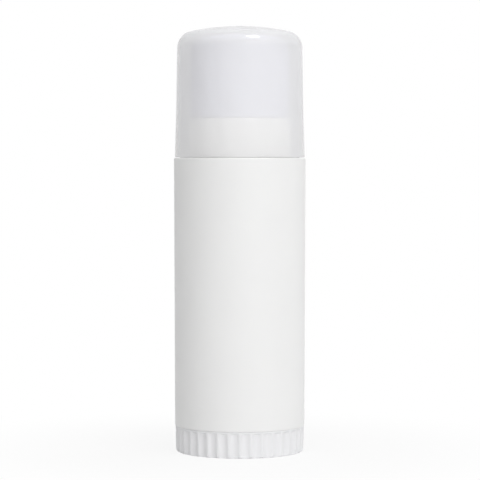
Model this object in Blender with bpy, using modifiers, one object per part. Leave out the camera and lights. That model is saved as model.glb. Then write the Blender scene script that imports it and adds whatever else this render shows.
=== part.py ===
# A twist-up sunscreen stick. Turning the fluted knob at its foot turns a lead screw, which lifts
# the elevator cup and the balm that stands in it. The cap, with a liner in it, pulls off the top.
# Lengths are in metres. The stick stands on z = 0 with its axis on Z.

import math

import bmesh
import bpy
from mathutils import Matrix, Vector

MM = 0.001
DEGREE = math.pi / 180

# Fits and facets
GAP = 0.3 * MM  # between neighbouring pieces
OUTER_STEPS = 64  # facets round the pieces that are seen
INNER_STEPS = 40  # facets round the pieces inside
SHARP_ANGLE = 30 * DEGREE  # edges over this stay sharp
EMBED = 0.4 * MM  # how deep a joined rib or thread stands in its wall

# Outer barrel
BODY_LENGTH = 56.8 * MM
BODY_RADIUS = 14.0 * MM  # at the top
BODY_TAPER = 0.15 * MM  # narrower by this at the foot
BARREL_WALL = 1.55 * MM  # at the foot
RIM_WALL = 1.0 * MM  # round the cap's plug ring
BARREL_TOP_ROUND = 0.3 * MM
BARREL_FOOT_ROUND = 0.2 * MM
BEAD_HEIGHT = 1.0 * MM  # snap bead that carries the inner tube's foot
BEAD_REACH = 0.7 * MM

# Inner tube
TUBE_SPACE = 1.5 * MM  # air between barrel and tube
TUBE_WALL = 1.15 * MM
NECK_HEIGHT = 8.3 * MM  # above the barrel
NECK_ROUND = 0.8 * MM
RIM_ROUND = 0.2 * MM  # inner edge of the neck's rim
FLANGE_THICKNESS = 1.2 * MM
TUBE_FLOOR = 1.6 * MM
SEAL_SEAT_FLOOR = 0.5 * MM  # left under the seal
RIB_COUNT = 4
RIB_HEIGHT = 0.8 * MM
RIB_WIDTH = 1.0 * MM
RIB_STOP = 2.0 * MM  # below the neck's rim

# Knob
KNOB_HEIGHT = 5.5 * MM
KNOB_INSET = 0.17 * MM  # narrower than the barrel's foot
KNOB_TAPER = 0.16 * MM
KNOB_FOOT_ROUND = 0.45 * MM
KNOB_TOP_ROUND = 0.15 * MM
KNOB_FLOOR = 1.3 * MM
KNOB_RING_WALL = 1.0 * MM  # ring that centres the knob in the barrel
KNOB_RING_HEIGHT = 2.9 * MM
HUB_WALL = 1.6 * MM
SOCKET_FLOOR = 1.8 * MM
FLUTE_COUNT = 36
FLUTE_RADIUS = 0.7 * MM
FLUTE_DEPTH = 0.32 * MM
FLUTE_RIM = 0.45 * MM  # smooth ring above the flutes
FLUTE_FOOT = 0.65 * MM  # smooth edge below them
FLUTE_PHASE = -1.6 * DEGREE  # first flute, from the front
FLUTE_STEPS = 12  # facets of the rod that cuts one

# Spindle and its thread, which rises to the left
JOURNAL_RADIUS = 2.3 * MM
DRIVE_INSET = 0.3 * MM  # corners of the six-sided drive, inside the journal
CORE_RADIUS = 1.7 * MM
CREST_RADIUS = 2.6 * MM
THREAD_LEAD = 4.0 * MM
THREAD_ROOT = 1.2 * MM  # width of the ridge at the core
THREAD_CREST = 0.8 * MM
THREAD_STEPS = 14  # in a turn
THREAD_RELIEF = 0.9 * MM  # plain core above the flange and below the tip
SPINDLE_FLANGE = 1.0 * MM
SPINDLE_FLANGE_REACH = 1.7 * MM
SPINDLE_TIP = 0.5 * MM  # chamfer
SPINDLE_RECESS = 4.9 * MM  # below the neck's rim

# Spindle seal
SEAL_THICKNESS = 0.8 * MM
SEAL_STEPS = 28  # facets round it
SEAL_SECTION_STEPS = 8

# Elevator cup
ELEVATOR_FLOOR = 1.0 * MM
ELEVATOR_HEIGHT = 7.0 * MM
ELEVATOR_WALL = 0.75 * MM
NUT_HEIGHT = 6.0 * MM
NUT_WALL = 1.3 * MM
LUG_TIP = 1.0 * MM  # width of the nut's thread at its inner edge

# Balm
BALM_RECESS = 1.0 * MM  # apex below the neck's rim
BALM_SHOULDER = 2.5 * MM
BALM_CROWN_RADIUS = 22.0 * MM

# Cap
CAP_HEIGHT = 27.5 * MM
CAP_INSET = 0.25 * MM  # narrower than the barrel's top
CAP_TAPER = 0.45 * MM
CAP_WALL = 1.2 * MM
CROWN_WALL = 1.4 * MM
CAP_SHOULDER = 3.5 * MM
CROWN_RADIUS = 50.0 * MM
MOUTH_ROUND = 0.25 * MM
PLUG_DEPTH = 1.5 * MM
PLUG_WALL = 1.0 * MM
PLUG_RISE = 1.1 * MM  # thick part of the wall above the mouth
PLUG_SLOPE = 1.0 * MM
SOCKET_RING_WALL = 0.9 * MM  # ring in the crown that holds the liner
SOCKET_RING_HEIGHT = 2.4 * MM

# Cap liner
LINER_WALL = 0.75 * MM
LINER_HEAD = 0.9 * MM
LINER_SHOULDER = 1.5 * MM

# Heights of the pieces, from the table up
barrel_foot = KNOB_HEIGHT + GAP
barrel_top = barrel_foot + BODY_LENGTH
cap_mouth = barrel_top + GAP
cap_apex = cap_mouth + CAP_HEIGHT
plug_foot = cap_mouth - PLUG_DEPTH
flange_top = plug_foot - GAP
flange_foot = flange_top - FLANGE_THICKNESS
ledge = flange_foot - GAP
neck_rim = barrel_top + NECK_HEIGHT
ring_top = KNOB_HEIGHT + KNOB_RING_HEIGHT
bead_foot = ring_top + GAP
tube_foot = bead_foot + BEAD_HEIGHT + GAP
tube_floor = tube_foot + TUBE_FLOOR
seal_seat = tube_foot + SEAL_SEAT_FLOOR
journal_foot = tube_foot - GAP
hub_top = journal_foot - GAP
spindle_flange_foot = tube_floor + GAP
spindle_flange_top = spindle_flange_foot + SPINDLE_FLANGE
spindle_top = neck_rim - SPINDLE_RECESS
elevator_foot = spindle_flange_top + GAP
elevator_top = elevator_foot + ELEVATOR_HEIGHT
nut_top = elevator_foot + NUT_HEIGHT
balm_foot = elevator_foot + ELEVATOR_FLOOR + GAP
balm_apex = neck_rim - BALM_RECESS
liner_foot = neck_rim + GAP

# Radii that follow from the barrel and the screw
foot_radius = BODY_RADIUS - BODY_TAPER
barrel_bore = foot_radius - BARREL_WALL
rim_bore = BODY_RADIUS - RIM_WALL
neck_radius = barrel_bore - TUBE_SPACE
tube_bore = neck_radius - TUBE_WALL
slider_radius = tube_bore - GAP  # elevator cup and balm
slot_floor = tube_bore - RIB_HEIGHT - GAP
knob_radius = foot_radius - KNOB_INSET
knob_foot_radius = knob_radius - KNOB_TAPER
ring_radius = barrel_bore - GAP
mouth_radius = BODY_RADIUS - CAP_INSET
crown_radius = mouth_radius - CAP_TAPER
plug_radius = rim_bore - GAP
liner_radius = tube_bore + LINER_WALL
drive_radius = JOURNAL_RADIUS - DRIVE_INSET
socket_radius = drive_radius + GAP / math.cos(math.pi / 6)
hub_radius = socket_radius + HUB_WALL
nut_bore = CREST_RADIUS + GAP
nut_radius = nut_bore + NUT_WALL


def clear_scene():
    for obj in list(bpy.data.objects):
        bpy.data.objects.remove(obj, do_unlink=True)


def new_collection(name, shown=True):
    collection = bpy.data.collections.new(name)
    collection.hide_render = not shown
    bpy.context.scene.collection.children.link(collection)
    return collection


def new_material(name, colour, roughness, metallic=0.0):
    material = bpy.data.materials.new(name)
    material.use_nodes = True
    shader = material.node_tree.nodes["Principled BSDF"]
    shader.inputs["Base Color"].default_value = (*colour, 1.0)
    shader.inputs["Roughness"].default_value = roughness
    shader.inputs["Metallic"].default_value = metallic
    return material


def rounded(corner, before, after, radius, steps=3):
    # Points of the arc that replaces a profile's corner
    corner, before, after = Vector(corner), Vector(before), Vector(after)
    back = (before - corner).normalized()
    ahead = (after - corner).normalized()
    half = back.angle(ahead) / 2
    centre = corner + (back + ahead).normalized() * radius / math.sin(half)
    start = corner + back * radius / math.tan(half)
    sweep = (start - centre).angle_signed(corner + ahead * radius / math.tan(half) - centre)
    points = []
    for step in range(steps + 1):
        spoke = (start - centre).copy()
        spoke.rotate(Matrix.Rotation(-sweep * step / steps, 2))
        points.append(tuple(centre + spoke))
    return points


def dome(wall_radius, apex, shoulder, crown, steps=5):
    # From the apex down to where the wall starts: a crown arc, then a shoulder arc tangent to it
    centre = apex - crown
    start = centre + math.sqrt((crown - shoulder) ** 2 - (wall_radius - shoulder) ** 2)
    turn = math.atan2(start - centre, wall_radius - shoulder)
    points = []
    for step in range(steps + 1):
        angle = math.pi / 2 + (turn - math.pi / 2) * step / steps
        points.append((crown * math.cos(angle), centre + crown * math.sin(angle)))
    points[0] = (0, apex)
    for step in range(1, steps + 1):
        angle = turn * (1 - step / steps)
        across = wall_radius - shoulder + shoulder * math.cos(angle)
        points.append((across, start + shoulder * math.sin(angle)))
    return points


def turned(name, collection, profile, steps, closed=False):
    # The profile runs down its outer side. A closed one comes back up the inside.
    mesh = bpy.data.meshes.new(name)
    bm = bmesh.new()
    verts = [bm.verts.new((across, 0, height)) for across, height in profile]
    for first, second in zip(verts, verts[1:]):
        bm.edges.new((first, second))
    if closed:
        bm.edges.new((verts[-1], verts[0]))
    bm.to_mesh(mesh)
    bm.free()
    obj = bpy.data.objects.new(name, mesh)
    collection.objects.link(obj)
    screw = obj.modifiers.new("Turn", "SCREW")
    screw.steps = steps
    screw.render_steps = steps
    screw.use_merge_vertices = True
    screw.merge_threshold = 0.01 * MM
    screw.use_smooth_shade = True
    return obj


def from_bmesh(name, collection, bm):
    bmesh.ops.recalc_face_normals(bm, faces=bm.faces)
    mesh = bpy.data.meshes.new(name)
    bm.to_mesh(mesh)
    bm.free()
    obj = bpy.data.objects.new(name, mesh)
    collection.objects.link(obj)
    return obj


def helper(obj):
    obj.hide_render = True
    obj.display_type = "WIRE"
    return obj


def combine(obj, other, operation, name):
    boolean = obj.modifiers.new(name, "BOOLEAN")
    boolean.operation = operation
    boolean.solver = "EXACT"
    boolean.object = other


def finish(obj, material):
    obj.data.materials.append(material)
    obj.data.shade_smooth()
    obj.data.set_sharp_from_angle(angle=SHARP_ANGLE)


def bars_round_axis(name, collection, inner, outer, width, low, high):
    # One upright bar for each guide rib, evenly round the axis
    bm = bmesh.new()
    size = Matrix.Diagonal((outer - inner, width, high - low, 1))
    place = Matrix.Translation(((inner + outer) / 2, 0, (low + high) / 2))
    for rib in range(RIB_COUNT):
        turn = Matrix.Rotation(2 * math.pi * (rib + 0.5) / RIB_COUNT, 4, "Z")
        bmesh.ops.create_cube(bm, size=1, matrix=turn @ place @ size)
    return helper(from_bmesh(name, collection, bm))


def six_sided(name, collection, radius, low, high):
    # The stem that the knob turns, or the socket round it. The radius is to the corners.
    bm = bmesh.new()
    bmesh.ops.create_cone(
        bm,
        cap_ends=True,
        segments=6,
        radius1=radius,
        radius2=radius,
        depth=high - low,
        matrix=Matrix.Translation((0, 0, (low + high) / 2)),
    )
    return helper(from_bmesh(name, collection, bm))


def thread(name, collection, inner, outer, inner_width, outer_width, start, turns):
    # A ridge that rises by the lead in each turn, clockwise as seen from above
    bm = bmesh.new()
    section = [
        (inner, start - inner_width / 2),
        (outer, start - outer_width / 2),
        (outer, start + outer_width / 2),
        (inner, start + inner_width / 2),
    ]
    face = bm.faces.new([bm.verts.new((across, 0, height)) for across, height in section])
    # The ridge's corners fall midway along the core's facets
    bmesh.ops.rotate(bm, matrix=Matrix.Rotation(math.pi / THREAD_STEPS, 3, "Z"), verts=bm.verts)
    steps = math.floor(turns * THREAD_STEPS)
    bmesh.ops.spin(
        bm,
        geom=[face, *face.edges, *face.verts],
        axis=(0, 0, 1),
        cent=(0, 0, 0),
        dvec=(0, 0, THREAD_LEAD / THREAD_STEPS),
        angle=-2 * math.pi * steps / THREAD_STEPS,
        steps=steps,
    )
    return helper(from_bmesh(name, collection, bm))


def make_cap_shell(parts, cutters, material):
    outside = dome(crown_radius, cap_apex, CAP_SHOULDER, CROWN_RADIUS)
    inner_radius = crown_radius - CAP_WALL
    inside = dome(inner_radius, cap_apex - CROWN_WALL, CAP_SHOULDER - CAP_WALL, CROWN_RADIUS - CROWN_WALL, 3)
    mouth = (mouth_radius, cap_mouth)
    seat = (plug_radius, cap_mouth)
    plug_bore = plug_radius - PLUG_WALL
    slope_foot = cap_mouth + PLUG_RISE
    profile = [
        *outside,
        *rounded(mouth, outside[-1], seat, MOUTH_ROUND),
        seat,
        (plug_radius, plug_foot),
        (plug_bore, plug_foot),
        (plug_bore, slope_foot),
        (mouth_radius - CAP_WALL, slope_foot + PLUG_SLOPE),
        *reversed(inside),
    ]
    shell = turned("cap_shell", parts, profile, OUTER_STEPS)
    ring_bore = liner_radius + GAP
    ring_outer = ring_bore + SOCKET_RING_WALL
    ring_head = cap_apex - CROWN_WALL - GAP
    ring_foot = ring_head - SOCKET_RING_HEIGHT
    ring = [(ring_outer, ring_head), (ring_outer, ring_foot), (ring_bore, ring_foot), (ring_bore, ring_head)]
    socket = helper(turned("liner_socket", cutters, ring, OUTER_STEPS, closed=True))
    combine(shell, socket, "UNION", "Liner socket")
    finish(shell, material)


def make_cap_liner(parts, material):
    head = cap_apex - CROWN_WALL - GAP
    crown = CROWN_RADIUS - CROWN_WALL - GAP
    outside = dome(liner_radius, head, LINER_SHOULDER, crown, 3)
    inside = dome(tube_bore, head - LINER_HEAD, LINER_SHOULDER - LINER_WALL, crown - LINER_HEAD, 3)
    profile = [*outside, (liner_radius, liner_foot), (tube_bore, liner_foot), *reversed(inside)]
    finish(turned("cap_liner", parts, profile, INNER_STEPS), material)


def make_outer_barrel(parts, material):
    top, foot = (BODY_RADIUS, barrel_top), (foot_radius, barrel_foot)
    rim, sill = (rim_bore, barrel_top), (barrel_bore, barrel_foot)
    bead_bore = barrel_bore - BEAD_REACH
    profile = [
        *rounded(top, rim, foot, BARREL_TOP_ROUND),
        *rounded(foot, top, sill, BARREL_FOOT_ROUND),
        sill,
        (barrel_bore, bead_foot),
        (bead_bore, bead_foot + BEAD_HEIGHT / 4),
        (bead_bore, bead_foot + BEAD_HEIGHT),
        (barrel_bore, bead_foot + BEAD_HEIGHT),
        (barrel_bore, ledge),
        (rim_bore, ledge),
        rim,
    ]
    finish(turned("outer_barrel", parts, profile, OUTER_STEPS, closed=True), material)


def make_inner_tube(parts, cutters, material):
    neck, rim = (neck_radius, neck_rim), (tube_bore, neck_rim)
    root = (neck_radius, flange_top)
    seat_radius = JOURNAL_RADIUS + GAP + SEAL_THICKNESS + GAP
    bottom = (tube_bore, tube_floor)
    profile = [
        *rounded(neck, rim, root, NECK_ROUND, 4),
        root,
        (plug_radius, flange_top),
        (plug_radius, flange_foot),
        (neck_radius, flange_foot),
        (neck_radius, tube_floor),
        (ring_radius, tube_floor),
        (ring_radius, tube_foot),
        (JOURNAL_RADIUS + GAP, tube_foot),
        (JOURNAL_RADIUS + GAP, seal_seat),
        (seat_radius, seal_seat),
        (seat_radius, tube_floor),
        bottom,
        *rounded(rim, bottom, neck, RIM_ROUND, 2),
    ]
    tube = turned("inner_tube", parts, profile, INNER_STEPS, closed=True)
    inner, outer = tube_bore - RIB_HEIGHT, tube_bore + EMBED
    ribs = bars_round_axis(
        "guide_ribs", cutters, inner, outer, RIB_WIDTH, tube_floor - EMBED, neck_rim - RIB_STOP
    )
    combine(tube, ribs, "UNION", "Guide ribs")
    finish(tube, material)


def make_knob(parts, cutters, material):
    shoulder = (knob_radius, KNOB_HEIGHT)
    foot = (knob_foot_radius, 0)
    ring_foot = (ring_radius, KNOB_HEIGHT)
    ring_bore = ring_radius - KNOB_RING_WALL
    profile = [
        (0, hub_top),
        (hub_radius, hub_top),
        (hub_radius, KNOB_FLOOR),
        (ring_bore, KNOB_FLOOR),
        (ring_bore, ring_top),
        (ring_radius, ring_top),
        ring_foot,
        *rounded(shoulder, ring_foot, foot, KNOB_TOP_ROUND, 2),
        *rounded(foot, shoulder, (0, 0), KNOB_FOOT_ROUND, 4),
        (0, 0),
    ]
    knob = turned("knob", parts, profile, 2 * FLUTE_COUNT)
    combine(knob, make_flutes(cutters), "DIFFERENCE", "Flutes")
    socket = six_sided("drive_socket", cutters, socket_radius, SOCKET_FLOOR, hub_top + EMBED)
    combine(knob, socket, "DIFFERENCE", "Drive socket")
    finish(knob, material)


def make_flutes(cutters):
    # Upright rods round the knob, leaning with its taper, which cut the flutes
    bm = bmesh.new()
    low, high = FLUTE_FOOT, KNOB_HEIGHT - FLUTE_RIM
    middle = (low + high) / 2
    surface = knob_foot_radius + KNOB_TAPER * middle / KNOB_HEIGHT
    lean = math.atan(KNOB_TAPER / KNOB_HEIGHT)
    place = Matrix.Translation((surface + FLUTE_RADIUS - FLUTE_DEPTH, 0, middle))
    for flute in range(FLUTE_COUNT):
        turn = Matrix.Rotation(FLUTE_PHASE + 2 * math.pi * flute / FLUTE_COUNT, 4, "Z")
        bmesh.ops.create_cone(
            bm,
            cap_ends=True,
            segments=FLUTE_STEPS,
            radius1=FLUTE_RADIUS,
            radius2=FLUTE_RADIUS,
            depth=high - low,
            matrix=turn @ place @ Matrix.Rotation(lean, 4, "Y"),
        )
    return helper(from_bmesh("flute_rods", cutters, bm))


def make_spindle(parts, cutters, material):
    flange_radius = JOURNAL_RADIUS + SPINDLE_FLANGE_REACH
    profile = [
        (0, spindle_top),
        (CORE_RADIUS - SPINDLE_TIP, spindle_top),
        (CORE_RADIUS, spindle_top - SPINDLE_TIP),
        (CORE_RADIUS, spindle_flange_top),
        (flange_radius, spindle_flange_top),
        (flange_radius, spindle_flange_foot),
        (JOURNAL_RADIUS, spindle_flange_foot),
        (JOURNAL_RADIUS, journal_foot),
        (0, journal_foot),
    ]
    spindle = turned("spindle", parts, profile, THREAD_STEPS)
    stem = six_sided("drive_stem", cutters, drive_radius, SOCKET_FLOOR + GAP, journal_foot + EMBED)
    combine(spindle, stem, "UNION", "Drive stem")
    thread_foot = spindle_flange_top + THREAD_RELIEF
    turns = (spindle_top - THREAD_RELIEF - thread_foot) / THREAD_LEAD
    root = THREAD_ROOT + (THREAD_ROOT - THREAD_CREST) * EMBED / (CREST_RADIUS - CORE_RADIUS)
    ridge = thread(
        "screw_ridge",
        cutters,
        CORE_RADIUS - EMBED,
        CREST_RADIUS,
        root,
        THREAD_CREST,
        thread_foot,
        turns,
    )
    combine(spindle, ridge, "UNION", "Thread")
    finish(spindle, material)


def make_spindle_seal(parts, material):
    bpy.ops.mesh.primitive_torus_add(
        major_radius=JOURNAL_RADIUS + GAP + SEAL_THICKNESS / 2,
        minor_radius=SEAL_THICKNESS / 2,
        major_segments=SEAL_STEPS,
        minor_segments=SEAL_SECTION_STEPS,
        location=(0, 0, seal_seat + GAP + SEAL_THICKNESS / 2),
    )
    seal = bpy.context.active_object
    seal.name = "spindle_seal"
    for collection in list(seal.users_collection):
        collection.objects.unlink(seal)
    parts.objects.link(seal)
    finish(seal, material)


def make_elevator_cup(parts, cutters, slots, material):
    wall_bore = slider_radius - ELEVATOR_WALL
    floor = elevator_foot + ELEVATOR_FLOOR
    profile = [
        (slider_radius, elevator_top),
        (slider_radius, elevator_foot),
        (nut_bore, elevator_foot),
        (nut_bore, nut_top),
        (nut_radius, nut_top),
        (nut_radius, floor),
        (wall_bore, floor),
        (wall_bore, elevator_top),
    ]
    cup = turned("elevator_cup", parts, profile, INNER_STEPS, closed=True)
    combine(cup, slots, "DIFFERENCE", "Guide slots")
    combine(cup, make_nut_lug(cutters), "UNION", "Nut thread")
    finish(cup, material)


def make_nut_lug(cutters):
    # Part of a turn of thread in the nut, resting GAP above the spindle's ridge
    slope = (THREAD_ROOT - THREAD_CREST) / (CREST_RADIUS - CORE_RADIUS)
    tip = CORE_RADIUS + GAP
    base = nut_bore + EMBED
    base_width = LUG_TIP + slope * (base - tip)
    ridge_at_tip = THREAD_ROOT - slope * GAP
    rise = (ridge_at_tip + LUG_TIP) / 2 + GAP * math.hypot(1, slope / 2)
    start = spindle_flange_top + THREAD_RELIEF + rise
    turns = (nut_top - base_width / 2 - start) / THREAD_LEAD
    return thread("nut_lug", cutters, tip, base, LUG_TIP, base_width, start, turns)


def make_balm(parts, slots, material):
    top = dome(slider_radius, balm_apex, BALM_SHOULDER, BALM_CROWN_RADIUS, 5)
    cup_bore = slider_radius - ELEVATOR_WALL
    sleeve = nut_radius + GAP
    profile = [
        *top,
        (slider_radius, elevator_top + GAP),
        (cup_bore - GAP, elevator_top + GAP),
        (cup_bore - GAP, balm_foot),
        (sleeve, balm_foot),
        (sleeve, nut_top + GAP),
        (nut_bore, nut_top + GAP),
        (nut_bore, spindle_top + GAP),
        (0, spindle_top + GAP),
    ]
    balm = turned("balm", parts, profile, INNER_STEPS)
    combine(balm, slots, "DIFFERENCE", "Guide slots")
    finish(balm, material)


def main():
    clear_scene()
    parts = new_collection("sunscreen_stick")
    cutters = new_collection("cutters", shown=False)
    white = new_material("white_polypropylene", (0.86, 0.86, 0.85), 0.35)
    milky = new_material("milky_polypropylene", (0.82, 0.82, 0.88), 0.15)
    sleeve = new_material("natural_polyethylene", (0.80, 0.80, 0.83), 0.45)
    cool_white = new_material("cool_white_polypropylene", (0.82, 0.83, 0.86), 0.3)
    acetal = new_material("white_acetal", (0.88, 0.87, 0.83), 0.4)
    rubber = new_material("clear_silicone", (0.7, 0.7, 0.68), 0.5)
    cream = new_material("sunscreen_balm", (0.93, 0.90, 0.82), 0.55)

    slots = bars_round_axis(
        "guide_slots",
        cutters,
        slot_floor,
        tube_bore + EMBED,
        RIB_WIDTH + 2 * GAP,
        tube_floor,
        neck_rim + EMBED,
    )
    make_cap_shell(parts, cutters, milky)
    make_cap_liner(parts, sleeve)
    make_outer_barrel(parts, white)
    make_inner_tube(parts, cutters, white)
    make_knob(parts, cutters, cool_white)
    make_spindle(parts, cutters, acetal)
    make_spindle_seal(parts, rubber)
    make_elevator_cup(parts, cutters, slots, acetal)
    make_balm(parts, slots, cream)


main()
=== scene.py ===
import math

import bmesh
import bpy
from mathutils import Matrix, Vector


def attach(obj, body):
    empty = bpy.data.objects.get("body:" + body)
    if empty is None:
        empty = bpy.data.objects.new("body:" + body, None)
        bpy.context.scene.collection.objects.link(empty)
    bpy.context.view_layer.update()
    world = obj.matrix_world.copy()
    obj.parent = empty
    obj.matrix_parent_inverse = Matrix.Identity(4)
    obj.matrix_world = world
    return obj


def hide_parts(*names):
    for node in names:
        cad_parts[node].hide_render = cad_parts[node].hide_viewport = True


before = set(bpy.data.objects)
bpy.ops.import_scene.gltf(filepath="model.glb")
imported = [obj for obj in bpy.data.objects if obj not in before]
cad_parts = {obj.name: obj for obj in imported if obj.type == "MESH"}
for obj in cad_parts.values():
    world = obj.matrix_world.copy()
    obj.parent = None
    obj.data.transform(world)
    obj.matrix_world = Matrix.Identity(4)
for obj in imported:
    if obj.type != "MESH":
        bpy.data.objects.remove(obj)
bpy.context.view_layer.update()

# Twist-up sunscreen stick. The pieces are drawn in millimetres, standing on z = 0, and brought
# to metres when they become objects.
mm = 0.001
roundSteps = 192  # facets round a turned piece
cornerFacets = 4  # in a rounded corner
fineRound, smallRound, largeRound = 0.1, 0.15, 0.2  # moulded corners that show little
longestRun = 2.5  # a longer wall gets extra rows
closeEnough = 0.0005  # points nearer than this become one
cutterOvershoot = 1.0  # how far a cutter passes the face that it opens


# Profiles, drawn in the XZ plane and turned round the stick's axis
def arcOn(bm, end, across, height, degrees, steps):
    # carries a profile on round a centre, clockwise as seen from the front
    swept = bmesh.ops.spin(
        bm, geom=[end], cent=(across, 0, height), axis=(0, 1, 0), angle=math.radians(degrees), steps=steps
    )
    return swept["geom_last"][0]


def roundCorner(bm, corner, radius):
    sides = [edge.other_vert(corner).co - corner.co for edge in corner.link_edges]
    half = sides[0].angle(sides[1]) / 2
    bmesh.ops.bevel(
        bm,
        geom=[corner],
        offset=radius / math.tan(half),
        offset_type="OFFSET",
        segments=cornerFacets,
        profile=0.5,
        affect="VERTICES",
        material=-1,
    )


def drawProfile(bm, path, closed=False):
    # a step is (radius, height), (radius, height, rounding of that corner) or
    # ("arc", centre's radius, centre's height, degrees, facets)
    first = end = bm.verts.new((path[0][0], 0, path[0][1]))
    soft = [(first, path[0][2])] if len(path[0]) == 3 else []
    for step in path[1:]:
        if step[0] == "arc":
            end = arcOn(bm, end, *step[1:])
            continue
        corner = bm.verts.new((step[0], 0, step[1]))
        bm.edges.new((end, corner))
        if len(step) == 3:
            soft.append((corner, step[2]))
        end = corner
    if closed:
        bm.edges.new((end, first))
    for corner, radius in soft:
        roundCorner(bm, corner, radius)


def splitLongRuns(bm):
    # extra rows keep the long walls evenly shaded
    for edge in list(bm.edges):
        cuts = math.ceil(edge.calc_length() / longestRun) - 1
        if cuts > 0:
            bmesh.ops.subdivide_edges(bm, edges=[edge], cuts=cuts)


def turn(bm, steps=roundSteps):
    bmesh.ops.spin(
        bm,
        geom=bm.verts[:] + bm.edges[:],
        cent=(0, 0, 0),
        axis=(0, 0, 1),
        angle=2 * math.pi,
        steps=steps,
        use_merge=True,
    )
    mend(bm)


def mend(bm):
    bmesh.ops.remove_doubles(bm, verts=bm.verts, dist=closeEnough)
    bmesh.ops.recalc_face_normals(bm, faces=bm.faces)


def turned(path, closed=False, steps=roundSteps):
    bm = bmesh.new()
    drawProfile(bm, path, closed)
    splitLongRuns(bm)
    turn(bm, steps)
    return bm


def domeOver(wall, apex, crown, shoulder, facets):
    # how far a crown arc leans before its shoulder arc takes over, and the shoulder's centre
    across = wall - shoulder
    rise = math.sqrt((crown - shoulder) ** 2 - across**2)
    return {
        "lean": math.degrees(math.atan2(across, rise)),
        "centre": apex - crown,
        "across": across,
        "height": apex - crown + rise,
        "radius": shoulder,
        "facets": facets,
    }


def domeDown(dome):
    crownFacets, shoulderFacets = dome["facets"]
    return [
        ("arc", 0, dome["centre"], dome["lean"], crownFacets),
        ("arc", dome["across"], dome["height"], 90 - dome["lean"], shoulderFacets),
    ]


def domeUp(dome):
    return [("arc", *step[1:3], -step[3], step[4]) for step in reversed(domeDown(dome))]


# From a bmesh to an object, and one object cut by another or joined to it
def toObject(name, bm):
    bmesh.ops.scale(bm, vec=(mm, mm, mm), verts=bm.verts)
    mesh = bpy.data.meshes.new(name)
    bm.to_mesh(mesh)
    bm.free()
    piece = bpy.data.objects.new(name, mesh)
    bpy.context.scene.collection.objects.link(piece)
    return piece


def cutOrJoin(piece, bm, operation):
    helper = toObject("helper", bm)
    boolean = piece.modifiers.new("Boolean", "BOOLEAN")
    boolean.operation = operation
    boolean.solver = "EXACT"
    boolean.object = helper
    shape = piece.evaluated_get(bpy.context.evaluated_depsgraph_get())
    mesh = bpy.data.meshes.new_from_object(shape)
    # the boolean can leave faces with no area along its cut
    clean = bmesh.new()
    clean.from_mesh(mesh)
    bmesh.ops.dissolve_degenerate(clean, dist=closeEnough * mm, edges=clean.edges)
    clean.to_mesh(mesh)
    clean.free()
    piece.modifiers.clear()
    piece.data = mesh
    bpy.data.objects.remove(helper, do_unlink=True)


def finishPiece(piece, body, node, slot, *materials, sharp=40):
    for material in materials:
        piece.data.materials.append(material)
    piece.data.shade_smooth()
    piece.data.set_sharp_from_angle(angle=math.radians(sharp))
    shading = piece.modifiers.new("Even shading", "WEIGHTED_NORMAL")
    shading.keep_sharp = True
    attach(piece, body)
    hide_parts(node)
    print("made", piece.name, "with", len(piece.data.polygons), "faces")
    return piece


# Material building blocks
def addNode(tree, kind, values=None, **settings):
    made = tree.nodes.new("ShaderNode" + kind)
    for name, value in settings.items():
        setattr(made, name, value)
    for socket, value in (values or {}).items():
        made.inputs[socket].default_value = value
    return made


even = (1, 1, 1)
noiseDetail = {"cloud": 3.0, "sheen": 4.0, "grain": 2.0}
noiseMiddle = (0.3, 0.7)  # where most of a noise lies
sheenShift = (0.3, 0.1, 0.2)  # so that a finish's sheen doesn't follow its cloud


def noiseAt(tree, kind, size, stretch=even, shift=(0, 0, 0)):
    # size is one lump's, in millimetres; stretch draws it out along an axis
    place = addNode(tree, "TexCoord")
    lay = addNode(tree, "Mapping", {"Location": shift, "Scale": [1 / s for s in stretch]})
    noise = addNode(tree, "TexNoise", {"Scale": 1 / (size * mm), "Detail": noiseDetail[kind]})
    tree.links.new(place.outputs["Object"], lay.inputs["Vector"])
    tree.links.new(lay.outputs["Vector"], noise.inputs["Vector"])
    return noise.outputs["Fac"]


def spread(tree, value, low, high):
    # brings the middle of a noise to a range
    least, most = noiseMiddle
    ranged = addNode(tree, "MapRange", {"From Min": least, "From Max": most, "To Min": low, "To Max": high})
    tree.links.new(value, ranged.inputs["Value"])
    return ranged.outputs["Result"]


def mixColours(tree, factor, first, second):
    mix = addNode(tree, "Mix", data_type="RGBA")
    mix.inputs[6].default_value = (*first, 1)
    mix.inputs[7].default_value = (*second, 1)
    tree.links.new(factor, mix.inputs["Factor"])
    return mix.outputs[2]


def moulded(name, finish):
    # a mottled colour, an uneven sheen and one bump for each grain of the finish
    material = bpy.data.materials.new(name)
    material.use_nodes = True
    tree = material.node_tree
    shader = tree.nodes["Principled BSDF"]
    for socket, value in finish.get("sockets", {}).items():
        shader.inputs[socket].default_value = value
    cloud = noiseAt(tree, "cloud", finish["cloudSize"], finish.get("cloudStretch", even))
    colour = mixColours(tree, spread(tree, cloud, 0, 1), finish["colour"], finish["cloudColour"])
    tree.links.new(colour, shader.inputs["Base Color"])
    sheen = noiseAt(tree, "sheen", finish["sheenSize"], finish.get("sheenStretch", even), sheenShift)
    tree.links.new(spread(tree, sheen, *finish["roughness"]), shader.inputs["Roughness"])
    normal = None
    for size, height, stretch in finish["grains"]:
        bump = addNode(tree, "Bump", {"Strength": 1.0, "Distance": height * mm})
        tree.links.new(noiseAt(tree, "grain", size, stretch), bump.inputs["Height"])
        if normal:
            tree.links.new(normal, bump.inputs["Normal"])
        normal = bump.outputs["Normal"]
    tree.links.new(normal, shader.inputs["Normal"])
    print("mixed", name)
    return material


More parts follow.
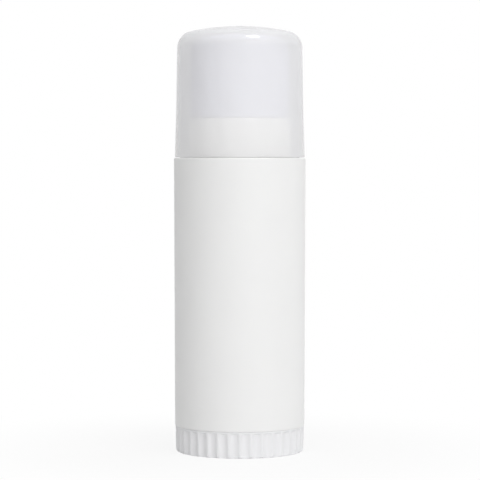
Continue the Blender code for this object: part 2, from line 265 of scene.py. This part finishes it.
# Colours are linear, sizes and heights in millimetres. A grain is (size, height, stretch).
whitePlastic = moulded("whitePlastic", {
    "colour": (0.87, 0.87, 0.866),
    "cloudColour": (0.86, 0.86, 0.857),
    "cloudSize": 9.0,
    "sheenSize": 3.0,
    "roughness": (0.44, 0.52),
    "grains": [(2.6, 0.0035, even), (0.45, 0.0008, even)],
    "sockets": {"IOR": 1.49},
})

# The neck is white plastic, but its colour is made whiter than real plastic as painted light, so that the
# neck looks as bright under the milky cap as the barrel does outside it
neckPlastic = moulded("neckPlastic", {
    "colour": (0.985, 0.98, 0.955),
    "cloudColour": (0.975, 0.97, 0.945),
    "cloudSize": 8.0,
    "sheenSize": 2.5,
    "roughness": (0.2, 0.28),
    "grains": [(2.2, 0.003, even), (0.5, 0.001, (1, 1, 6))],
    "sockets": {"IOR": 1.49, "Sheen Weight": 0.7, "Sheen Roughness": 0.35},
})

coolPlastic = moulded("coolPlastic", {
    "colour": (0.85, 0.85, 0.862),
    "cloudColour": (0.84, 0.84, 0.853),
    "cloudSize": 7.0,
    "sheenSize": 2.0,
    "roughness": (0.38, 0.46),
    "grains": [(1.8, 0.003, even), (0.35, 0.0008, even)],
    "sockets": {"IOR": 1.49},
})

milkyPlastic = moulded("milkyPlastic", {
    "colour": (0.98, 0.98, 0.998),
    "cloudColour": (0.973, 0.973, 0.993),
    "cloudSize": 11.0,
    "sheenSize": 5.0,
    "roughness": (0.025, 0.05),
    "grains": [(3.5, 0.0006, even)],
    "sockets": {"Alpha": 0.5, "IOR": 1.49},
})

# the wall's inner face lets more through, so that the wall as a whole is as milky as the real one
milkyInside = moulded("milkyInside", {
    "colour": (0.995, 0.995, 0.998),
    "cloudColour": (0.988, 0.988, 0.993),
    "cloudSize": 9.0,
    "sheenSize": 4.0,
    "roughness": (0.45, 0.6),
    "grains": [(2.5, 0.004, even)],
    "sockets": {"Alpha": 0.05, "IOR": 1.49},
})

linerPlastic = moulded("linerPlastic", {
    "colour": (0.855, 0.855, 0.915),
    "cloudColour": (0.865, 0.865, 0.92),
    "cloudSize": 6.0,
    "cloudStretch": (1, 1, 4),
    "sheenSize": 1.5,
    "sheenStretch": (1, 1, 8),
    "roughness": (0.58, 0.68),
    "grains": [(2.0, 0.004, (1, 1, 4)), (0.4, 0.001, (1, 1, 10))],
    "sockets": {"IOR": 1.51},
})

acetalPlastic = moulded("acetalPlastic", {
    "colour": (0.86, 0.855, 0.82),
    "cloudColour": (0.88, 0.875, 0.845),
    "cloudSize": 4.0,
    "sheenSize": 1.2,
    "roughness": (0.34, 0.44),
    "grains": [(1.2, 0.003, even), (0.3, 0.0012, even)],
    "sockets": {"IOR": 1.48},
})

siliconeRubber = moulded("siliconeRubber", {
    "colour": (0.72, 0.72, 0.70),
    "cloudColour": (0.76, 0.76, 0.74),
    "cloudSize": 1.5,
    "sheenSize": 0.8,
    "roughness": (0.5, 0.62),
    "grains": [(0.5, 0.002, even)],
    "sockets": {"IOR": 1.41, "Subsurface Weight": 0.4, "Subsurface Scale": 0.001},
})

waxyBalm = moulded("waxyBalm", {
    "colour": (0.93, 0.905, 0.835),
    "cloudColour": (0.945, 0.93, 0.875),
    "cloudSize": 5.0,
    "cloudStretch": (1, 1, 2),
    "sheenSize": 1.6,
    "roughness": (0.38, 0.62),
    "grains": [(3.0, 0.012, even), (0.6, 0.004, even)],
    "sockets": {"IOR": 1.45, "Subsurface Weight": 0.35, "Subsurface Scale": 0.002},
})

# Outer barrel
outerBarrel = {
    "top": 62.48,
    "topRadius": 14.0,
    "topRound": 0.3,
    "foot": 5.58,
    "footRadius": 13.8,
    "footRound": 0.06,
    "bore": 12.3,
    "rimBore": 13.0,
    "ledge": 59.6,
    "bead": (8.7, 8.95, 9.7, 11.6),  # from, full from, to, and the bore in it
}


def makeOuterBarrel(size):
    beadFoot, beadFull, beadTop, beadBore = size["bead"]
    path = [
        (size["topRadius"], size["top"], size["topRound"]),
        (size["footRadius"], size["foot"], size["footRound"]),
        (size["bore"], size["foot"], fineRound),
        (size["bore"], beadFoot),
        (beadBore, beadFull, fineRound),
        (beadBore, beadTop, fineRound),
        (size["bore"], beadTop),
        (size["bore"], size["ledge"]),
        (size["rimBore"], size["ledge"]),
        (size["rimBore"], size["top"], fineRound),
    ]
    piece = toObject("outerBarrel", turned(path, closed=True))
    return finishPiece(piece, "barrel", "outer_barrel", "white_body", whitePlastic)


makeOuterBarrel(outerBarrel)

# Inner tube, whose neck stands out of the barrel. Its ribs keep the cup and the balm from turning.
innerTube = {
    "rim": 70.9,
    "neckRadius": 10.8,
    "neckRound": 0.55,
    "bore": 9.65,
    "flange": (59.9, 61.1, 12.7),  # from, to and radius
    "foot": (10.0, 11.6, 12.0),
    "stemHole": 2.6,
    "sealSeat": (10.5, 3.7),  # height and radius
    "ribs": {"inner": 8.85, "outer": 10.05, "width": 1.0, "low": 11.2, "high": 68.9, "soft": 0.12},
}


def guideBars(inner, outer, width, low, high, soft=0.0):
    # four upright bars, midway between the front and the sides
    bm = bmesh.new()
    size = Matrix.Diagonal((outer - inner, width, high - low, 1))
    place = Matrix.Translation(((inner + outer) / 2, 0, (low + high) / 2))
    for bar in range(4):
        aside = Matrix.Rotation(math.radians(45 + 90 * bar), 4, "Z")
        bmesh.ops.create_cube(bm, size=1, matrix=aside @ place @ size)
    if soft:
        bmesh.ops.bevel(
            bm, geom=bm.edges[:], offset=soft, segments=2, profile=0.5, affect="EDGES", material=-1
        )
    return bm


def makeInnerTube(size):
    flangeFoot, flangeTop, flangeRadius = size["flange"]
    foot, floor, footRadius = size["foot"]
    seat, seatRadius = size["sealSeat"]
    path = [
        (size["neckRadius"], size["rim"], size["neckRound"]),
        (size["neckRadius"], flangeTop),
        (flangeRadius, flangeTop, smallRound),
        (flangeRadius, flangeFoot, smallRound),
        (size["neckRadius"], flangeFoot),
        (size["neckRadius"], floor),
        (footRadius, floor, fineRound),
        (footRadius, foot, fineRound),
        (size["stemHole"], foot),
        (size["stemHole"], seat),
        (seatRadius, seat),
        (seatRadius, floor),
        (size["bore"], floor),
        (size["bore"], size["rim"], largeRound),
    ]
    piece = toObject("innerTube", turned(path, closed=True))
    cutOrJoin(piece, guideBars(**size["ribs"]), "UNION")
    return finishPiece(piece, "barrel", "inner_tube", "white_body", neckPlastic)


makeInnerTube(innerTube)

# Knob: one flute's share is spun and shaped, then repeated round the axis
flutedKnob = {
    "top": 5.55,
    "topRadius": 13.7,
    "topRound": 0.1,
    "footRadius": 13.56,
    "footRound": 0.45,
    "floor": 1.3,
    "ring": (11.0, 12.0, 8.4),  # bore, radius and top of the ring that centres it
    "hub": (3.946, 9.4),  # radius and top
    "socket": (2.346, 1.8),  # radius to its corners, and floor
    "recess": (10.4, 10.15, 0.25),  # shallow hollow underneath: radius at the foot and inside, and depth
    "gate": (1.1, 0.95, 0.45),  # moulding mark in the hollow: the same, but from the foot's level
    "gateRound": 0.08,
    "gateStub": (0.35, 0.3, 0.3),  # left by the sprue: radius at its root and its tip, and its tip's level
    "flutes": 36,
    "fluteRadius": 1.6,
    "fluteDepth": 0.34,
    "fluteTop": 5.18,
    "fluteLedge": 0.22,  # how far down a flute gets its full depth
    "fluteWall": 0.6,  # how far in from the foot's radius the flutes shape the wall
    "flutePhase": -4.8,  # degrees from the front
    "fluteFacets": 20,
}


def makeFlutedKnob(size):
    fall = (size["topRadius"] - size["footRadius"]) / size["top"]
    ledge = [size["fluteTop"], size["fluteTop"] - size["fluteLedge"]]
    ringBore, ringRadius, ringTop = size["ring"]
    hubRadius, hubTop = size["hub"]
    recess, recessInside, hollow = size["recess"]
    gate, gateInside, gateDepth = size["gate"]
    stubRoot, stubTip, stubEnd = size["gateStub"]
    path = [
        (0, hubTop),
        (hubRadius, hubTop, smallRound),
        (hubRadius, size["floor"]),
        (ringBore, size["floor"]),
        (ringBore, ringTop, fineRound),
        (ringRadius, ringTop, fineRound),
        (ringRadius, size["top"]),
        (size["topRadius"], size["top"], size["topRound"]),
        *[(size["footRadius"] + fall * height, height) for height in ledge],
        (size["footRadius"], 0, size["footRound"]),
        (recess, 0, smallRound),
        (recessInside, hollow, smallRound),
        (gate, hollow, size["gateRound"]),
        (gateInside, gateDepth),
        (stubRoot, gateDepth),
        (stubTip, stubEnd),
        (0, stubEnd),
    ]
    bm = bmesh.new()
    drawProfile(bm, path)
    splitLongRuns(bm)
    pitch = 2 * math.pi / size["flutes"]
    phase = math.radians(size["flutePhase"])
    bmesh.ops.rotate(bm, matrix=Matrix.Rotation(phase - pitch / 2, 3, "Z"), verts=bm.verts)
    bmesh.ops.spin(
        bm,
        geom=bm.verts[:] + bm.edges[:],
        cent=(0, 0, 0),
        axis=(0, 0, 1),
        angle=pitch,
        steps=size["fluteFacets"],
    )
    for vert in bm.verts:
        sinkFlute(vert, size, phase)
    bmesh.ops.spin(
        bm,
        geom=bm.verts[:] + bm.edges[:] + bm.faces[:],
        cent=(0, 0, 0),
        axis=(0, 0, 1),
        angle=2 * math.pi - pitch,
        steps=size["flutes"] - 1,
        use_duplicate=True,
    )
    mend(bm)
    piece = toObject("flutedKnob", bm)
    socketRadius, socketFloor = size["socket"]
    cutOrJoin(piece, sixSided(socketRadius, socketFloor, hubTop + cutterOvershoot), "DIFFERENCE")
    return finishPiece(piece, "dial", "knob", "cool_white", coolPlastic)


def sinkFlute(vert, size, phase):
    # moves a point of the outer wall in as far as the round cutter would reach there
    radius = math.hypot(vert.co.x, vert.co.y)
    if radius < size["footRadius"] - size["fluteWall"] or vert.co.z > size["fluteTop"]:
        return
    aside = (math.atan2(vert.co.y, vert.co.x) - phase) * radius
    inside = size["fluteRadius"] ** 2 - aside**2
    ending = min(1, (size["fluteTop"] - vert.co.z) / size["fluteLedge"])
    reach = (math.sqrt(max(inside, 0)) - size["fluteRadius"] + size["fluteDepth"]) * ending
    cut = reach - max(0, size["footRadius"] - radius)
    if cut > 0:
        shrink = 1 - cut / radius
        vert.co.x *= shrink
        vert.co.y *= shrink


def sixSided(radius, low, high):
    bm = bmesh.new()
    middle = Matrix.Translation((0, 0, (low + high) / 2))
    bmesh.ops.create_cone(
        bm, cap_ends=True, segments=6, radius1=radius, radius2=radius, depth=high - low, matrix=middle
    )
    return bm


makeFlutedKnob(flutedKnob)

# Spindle. Its thread rises to the left, so that the knob's positive turn lifts the balm.
leadScrew = {
    "top": 66.0,
    "core": 1.7,
    "tip": 0.5,
    "flange": (11.9, 12.9, 4.0),  # from, to and radius
    "journal": (9.7, 2.3),  # foot and radius
    "stem": (2.0, 2.1),  # radius to its corners, and foot
    "stemRoot": 0.4,  # how far it goes into the journal
    "stemEnds": 0.2,  # bevel
    "lead": 4.0,
    "thread": [(1.3, 1.378), (2.6, 0.8)],  # radius and width at the root and at the crest
    "threadFoot": 13.8,
    "threadTurns": 179 / 14,
    "threadStart": math.pi / 14,  # angle from the stick's right
    "threadFacets": 42,  # in a turn
    "facets": 84,
}


def threadRidge(widths, foot, turns):
    # a section spun and lifted, clockwise as seen from above
    (root, rootWidth), (crest, crestWidth) = widths
    facets = leadScrew["threadFacets"]
    bm = bmesh.new()
    section = [
        (root, foot - rootWidth / 2),
        (crest, foot - crestWidth / 2),
        (crest, foot + crestWidth / 2),
        (root, foot + rootWidth / 2),
    ]
    face = bm.faces.new([bm.verts.new((across, 0, height)) for across, height in section])
    bmesh.ops.rotate(bm, matrix=Matrix.Rotation(leadScrew["threadStart"], 3, "Z"), verts=bm.verts)
    steps = round(turns * facets)
    bmesh.ops.spin(
        bm,
        geom=[face, *face.edges, *face.verts],
        cent=(0, 0, 0),
        axis=(0, 0, 1),
        dvec=(0, 0, leadScrew["lead"] / facets),
        angle=-2 * math.pi * steps / facets,
        steps=steps,
    )
    bmesh.ops.recalc_face_normals(bm, faces=bm.faces)
    return bm


def makeLeadScrew(size):
    flangeFoot, flangeTop, flangeRadius = size["flange"]
    journalFoot, journalRadius = size["journal"]
    stemRadius, stemFoot = size["stem"]
    path = [
        (0, size["top"]),
        (size["core"] - size["tip"], size["top"]),
        (size["core"], size["top"] - size["tip"]),
        (size["core"], flangeTop),
        (flangeRadius, flangeTop, smallRound),
        (flangeRadius, flangeFoot, smallRound),
        (journalRadius, flangeFoot),
        (journalRadius, journalFoot, fineRound),
        (0, journalFoot),
    ]
    piece = toObject("leadScrew", turned(path, steps=size["facets"]))
    stem = sixSided(stemRadius, stemFoot, journalFoot + size["stemRoot"])
    level = [edge for edge in stem.edges if abs(edge.verts[0].co.z - edge.verts[1].co.z) < closeEnough]
    bmesh.ops.bevel(
        stem, geom=level, offset=size["stemEnds"], segments=2, profile=0.5, affect="EDGES", material=-1
    )
    cutOrJoin(piece, stem, "UNION")
    ridge = threadRidge(size["thread"], size["threadFoot"], size["threadTurns"])
    cutOrJoin(piece, ridge, "UNION")
    return finishPiece(piece, "dial", "spindle", "acetal", acetalPlastic)


makeLeadScrew(leadScrew)

# Seal round the spindle's journal
stemSeal = {"radius": 3.0, "thickness": 0.8, "height": 11.2, "sectionFacets": 24, "facets": 96}


def makeStemSeal(size):
    bm = bmesh.new()
    place = Matrix.Translation((size["radius"], 0, size["height"])) @ Matrix.Rotation(math.pi / 2, 4, "X")
    bmesh.ops.create_circle(bm, segments=size["sectionFacets"], radius=size["thickness"] / 2, matrix=place)
    turn(bm, size["facets"])
    return finishPiece(toObject("stemSeal", bm), "barrel", "spindle_seal", "silicone", siliconeRubber)


makeStemSeal(stemSeal)

# Elevator cup, with the nut in its middle. The slots run on the inner tube's ribs.
elevatorCup = {
    "foot": 13.2,
    "top": 20.2,
    "radius": 9.35,
    "wallBore": 8.6,
    "floor": 14.2,
    "nut": (2.9, 4.2, 19.2),  # bore, radius and top
    "lug": [(2.0, 1.0), (3.3, 1.578)],  # radius and width at the tip and in the wall
    "lugFoot": 15.141,
    "lugTurns": 11 / 14,
    "facets": 144,
    "slots": {"inner": 8.55, "outer": 10.05, "width": 1.6, "low": 11.6, "high": 71.3},
}


def makeElevatorCup(size):
    nutBore, nutRadius, nutTop = size["nut"]
    path = [
        (size["radius"], size["top"], fineRound),
        (size["radius"], size["foot"], smallRound),
        (nutBore, size["foot"]),
        (nutBore, nutTop),
        (nutRadius, nutTop, smallRound),
        (nutRadius, size["floor"]),
        (size["wallBore"], size["floor"]),
        (size["wallBore"], size["top"], fineRound),
    ]
    piece = toObject("elevatorCup", turned(path, closed=True, steps=size["facets"]))
    cutOrJoin(piece, guideBars(**size["slots"]), "DIFFERENCE")
    cutOrJoin(piece, threadRidge(size["lug"], size["lugFoot"], size["lugTurns"]), "UNION")
    return finishPiece(piece, "product", "elevator_cup", "acetal", acetalPlastic)


makeElevatorCup(elevatorCup)

# Balm, standing in the cup and round the spindle
balmStick = {
    "outside": {"wall": 9.35, "apex": 69.9, "crown": 22.0, "shoulder": 2.5, "facets": (16, 12)},
    "cupRim": 20.5,
    "cupFit": 8.3,
    "foot": 14.5,
    "sleeve": (4.5, 19.5),  # room for the nut: radius and top
    "bore": (2.9, 66.3),  # round the spindle: radius and top
    "slots": elevatorCup["slots"],
    "facets": 144,
}


def makeBalmStick(size):
    sleeve, sleeveTop = size["sleeve"]
    bore, boreTop = size["bore"]
    path = [
        (0, size["outside"]["apex"]),
        *domeDown(domeOver(**size["outside"])),
        (size["outside"]["wall"], size["cupRim"], fineRound),
        (size["cupFit"], size["cupRim"]),
        (size["cupFit"], size["foot"], largeRound),
        (sleeve, size["foot"]),
        (sleeve, sleeveTop),
        (bore, sleeveTop),
        (bore, boreTop),
        (0, boreTop),
    ]
    piece = toObject("balmStick", turned(path, steps=size["facets"]))
    cutOrJoin(piece, guideBars(**size["slots"]), "DIFFERENCE")
    return finishPiece(piece, "product", "balm", "balm", waxyBalm, sharp=50)


makeBalmStick(balmStick)

# Cap liner, which closes over the neck's bore
capLiner = {
    "outside": {"wall": 10.4, "apex": 88.7, "crown": 48.3, "shoulder": 3.2, "facets": (12, 10)},
    "inside": {"wall": 9.65, "apex": 87.8, "crown": 47.4, "shoulder": 2.45, "facets": (8, 6)},
    "foot": 70.95,
    "footRound": 0.05,
}


def makeCapLiner(size):
    inside = domeOver(**size["inside"])
    path = [
        (0, size["outside"]["apex"]),
        *domeDown(domeOver(**size["outside"])),
        (size["outside"]["wall"], size["foot"], size["footRound"]),
        (size["inside"]["wall"], size["foot"], smallRound),
        (size["inside"]["wall"], inside["height"]),
        *domeUp(inside),
    ]
    piece = toObject("capLiner", turned(path))
    return finishPiece(piece, "cap", "cap_liner", "natural_sleeve", linerPlastic)


makeCapLiner(capLiner)

# Cap shell, with the ring that holds the liner and the plug ring that grips the barrel
capShell = {
    "outside": {"wall": 13.3, "apex": 90.4, "crown": 50.0, "shoulder": 3.5, "facets": (24, 18)},
    "inside": {"wall": 12.1, "apex": 89.0, "crown": 48.6, "shoulder": 2.3, "facets": (12, 6)},
    "gate": (0.7, 0.49, 0.08),  # moulding mark on the crown: radius, the same at its floor, and depth
    "flare": (70.4, 13.59),  # the wall widens faster below this height: height and radius
    "mouth": 62.58,
    "mouthRadius": 13.83,
    "mouthRound": 0.12,
    "plug": (11.7, 12.7, 61.4),  # bore, radius and foot
    "plugBead": (0.12, 0.25, 0.5, 0.75),  # how far out; then its top, middle and foot, below the mouth
    "slope": (64.0, 65.0, 12.55),  # from, to and radius at its top
    "socketRing": (10.7, 11.6, 86.3),  # bore, radius and foot
    "ringFacets": 3,  # in the shoulder between the ring and the crown
}


def makeCapShell(size):
    outside, inside = domeOver(**size["outside"]), domeOver(**size["inside"])
    gate, gateInside, gateDepth = size["gate"]
    apex = size["outside"]["apex"]
    gateLean = math.degrees(math.asin(gate / size["outside"]["crown"]))
    plugBore, plugRadius, plugFoot = size["plug"]
    bead, beadTop, beadMiddle, beadFoot = size["plugBead"]
    slopeFoot, slopeTop, slopeRadius = size["slope"]
    flare, flareRadius = size["flare"]
    mouth = size["mouth"]
    ringBore, ringRadius, ringFoot = size["socketRing"]
    # where the socket ring's two sides meet the inner shoulder, as leans of its arc
    boreLean, ringLean = (
        math.degrees(math.asin((side - inside["across"]) / inside["radius"]))
        for side in (ringBore, ringRadius)
    )
    crown, shoulder = domeDown(outside)
    crownFacets, shoulderFacets = inside["facets"]
    path = [
        (0, apex - gateDepth),
        (gateInside, apex - gateDepth),
        (gate, apex - size["outside"]["crown"] * (1 - math.cos(math.radians(gateLean)))),
        (*crown[:3], crown[3] - gateLean, crown[4]),
        shoulder,
        (flareRadius, flare),
        (size["mouthRadius"], mouth, size["mouthRound"]),
        (plugRadius, mouth),
        (plugRadius, mouth - beadTop),
        (plugRadius + bead, mouth - beadMiddle, smallRound),
        (plugRadius, mouth - beadFoot),
        (plugRadius, plugFoot, largeRound),
        (plugBore, plugFoot, largeRound),
        (plugBore, slopeFoot),
        (slopeRadius, slopeTop),
        (size["inside"]["wall"], inside["height"]),
        ("arc", inside["across"], inside["height"], ringLean - 90, shoulderFacets),
        (ringRadius, ringFoot, smallRound),
        (ringBore, ringFoot, smallRound),
        (ringBore, inside["height"] + inside["radius"] * math.cos(math.radians(boreLean))),
        ("arc", inside["across"], inside["height"], inside["lean"] - boreLean, size["ringFacets"]),
        ("arc", 0, inside["centre"], -inside["lean"], crownFacets),
    ]
    bm = turned(path)
    # a face that looks back at a point inside the cap is the wall's inner one
    for face in bm.faces:
        outward = face.calc_center_median() - Vector((0, 0, slopeTop))
        face.material_index = 1 if face.normal.dot(outward) < 0 else 0
    piece = toObject("capShell", bm)
    return finishPiece(piece, "cap", "cap_shell", "milky_shell", milkyPlastic, milkyInside)


makeCapShell(capShell)

# Studio: a white world and floor as far as a camera sees them, softer light on the stick itself
studio = {
    "ambient": 0.38,  # how much of the white world lights the stick
    # painted shade: where the camera sees the world or the floor through the cap's wall, their white is
    # dimmed to this, standing in for the shade inside the cap
    "paintedShadeBehindCap": 0.42,  # how white the studio is when seen through the cap's wall
    "floor": (6, 0.02 * mm),  # side, and how far under the stick
    "paper": 0.8,
    "paperGlow": (0.015, 0.08, 0.85),  # where the floor's own white fades in, and from how much
    "lamps": {
        # azimuth (0 is the camera's side, 90 the right), elevation, distance, width, height, watts
        # and whether it is the one that shows in reflections
        "keySoftbox": (22, 25, 1.0, 1.0, 0.8, 5.3, False),
        "topSoftbox": (10, 85, 1.0, 1.0, 0.8, 4.2, False),
        "rearSoftbox": (120, 15, 1.0, 0.4, 0.4, 0.9, False),
        "highlightSoftbox": (36, 57, 0.8, 0.18, 0.25, 6.5, True),
    },
    "aim": 45,  # height that the lamps point at, in millimetres
}


def mixShaders(tree, factor, first, second):
    mix = addNode(tree, "MixShader")
    tree.links.new(factor, mix.inputs[0])
    tree.links.new(first, mix.inputs[1])
    tree.links.new(second, mix.inputs[2])
    return mix.outputs[0]


def seenDirectly(tree):
    # 1 for camera, glossy and transmission rays; less for what the camera sees through the cap, which is
    # painted shade standing in for the shade inside the cap
    path = addNode(tree, "LightPath")
    veiled = addNode(tree, "Math", {1: 0.5}, operation="GREATER_THAN")
    clear = addNode(tree, "Math", {1: studio["paintedShadeBehindCap"] - 1, 2: 1.0}, operation="MULTIPLY_ADD")
    camera = addNode(tree, "Math", operation="MULTIPLY")
    tree.links.new(path.outputs["Transparent Depth"], veiled.inputs[0])
    tree.links.new(veiled.outputs[0], clear.inputs[0])
    tree.links.new(path.outputs["Is Camera Ray"], camera.inputs[0])
    tree.links.new(clear.outputs[0], camera.inputs[1])
    seen = camera.outputs[0]
    for ray in ("Is Glossy Ray", "Is Transmission Ray"):
        either = addNode(tree, "Math", operation="MAXIMUM")
        tree.links.new(seen, either.inputs[0])
        tree.links.new(path.outputs[ray], either.inputs[1])
        seen = either.outputs[0]
    return seen


def makeWorld():
    world = bpy.data.worlds.new("studio")
    bpy.context.scene.world = world
    world.use_nodes = True
    tree = world.node_tree
    tree.nodes.clear()
    soft = addNode(tree, "Background", {"Color": (1, 1, 1, 1), "Strength": studio["ambient"]})
    white = addNode(tree, "Background", {"Color": (1, 1, 1, 1), "Strength": 1.0})
    out = addNode(tree, "OutputWorld")
    tree.links.new(mixShaders(tree, seenDirectly(tree), soft.outputs[0], white.outputs[0]), out.inputs[0])


def makeFloor():
    side, drop = studio["floor"]
    bpy.ops.mesh.primitive_plane_add(size=side, location=(0, 0, -drop))
    floor = bpy.context.active_object
    floor.name = "floor"
    paper = bpy.data.materials.new("paper")
    paper.use_nodes = True
    tree = paper.node_tree
    tree.nodes.clear()
    matt = addNode(tree, "BsdfDiffuse", {"Color": (*[studio["paper"]] * 3, 1)})
    glow = addNode(tree, "Emission")
    place = addNode(tree, "TexCoord")
    reach = addNode(tree, "VectorMath", operation="LENGTH")
    tree.links.new(place.outputs["Object"], reach.inputs[0])
    near, far, least = studio["paperGlow"]
    fade = addNode(
        tree,
        "MapRange",
        {"From Min": near, "From Max": far, "To Min": least, "To Max": 1.0},
        interpolation_type="SMOOTHSTEP",
    )
    share = addNode(tree, "Math", operation="MULTIPLY")
    tree.links.new(reach.outputs["Value"], fade.inputs["Value"])
    tree.links.new(fade.outputs["Result"], share.inputs[0])
    tree.links.new(seenDirectly(tree), share.inputs[1])
    out = addNode(tree, "OutputMaterial")
    tree.links.new(mixShaders(tree, share.outputs[0], matt.outputs[0], glow.outputs[0]), out.inputs[0])
    floor.data.materials.append(paper)


def hangSoftbox(name, azimuth, elevation, distance, width, height, watts, shines):
    around, up = math.radians(azimuth), math.radians(elevation)
    away = Vector((math.sin(around) * math.cos(up), -math.cos(around) * math.cos(up), math.sin(up)))
    light = bpy.data.lights.new(name, "AREA")
    light.shape = "RECTANGLE"
    light.size = width
    light.size_y = height
    light.energy = watts
    lamp = bpy.data.objects.new(name, light)
    lamp.location = Vector((0, 0, studio["aim"] * mm)) + away * distance
    lamp.rotation_euler = (-away).to_track_quat("-Z", "Y").to_euler()
    lamp.visible_camera = False
    lamp.visible_glossy = shines
    lamp.visible_diffuse = not shines
    bpy.context.scene.collection.objects.link(lamp)


makeWorld()
makeFloor()
for lampName, place in studio["lamps"].items():
    hangSoftbox(lampName, *place)
print("lit by", ", ".join(studio["lamps"]))

# Camera, level with the cap's foot and looking slightly down. Lengths are in millimetres.
view = {"lens": 160.92, "sensor": 36, "distance": 457, "aside": 0.05, "height": 61.6, "down": 2.082}
lens = bpy.data.cameras.new("camera")
lens.lens = view["lens"]
lens.sensor_width = view["sensor"]
camera = bpy.data.objects.new("camera", lens)
camera.location = (view["aside"] * mm, -view["distance"] * mm, view["height"] * mm)
camera.rotation_euler = (math.radians(90 - view["down"]), 0, 0)
bpy.context.scene.collection.objects.link(camera)
bpy.context.scene.camera = camera
bpy.context.scene.view_settings.view_transform = "Standard"
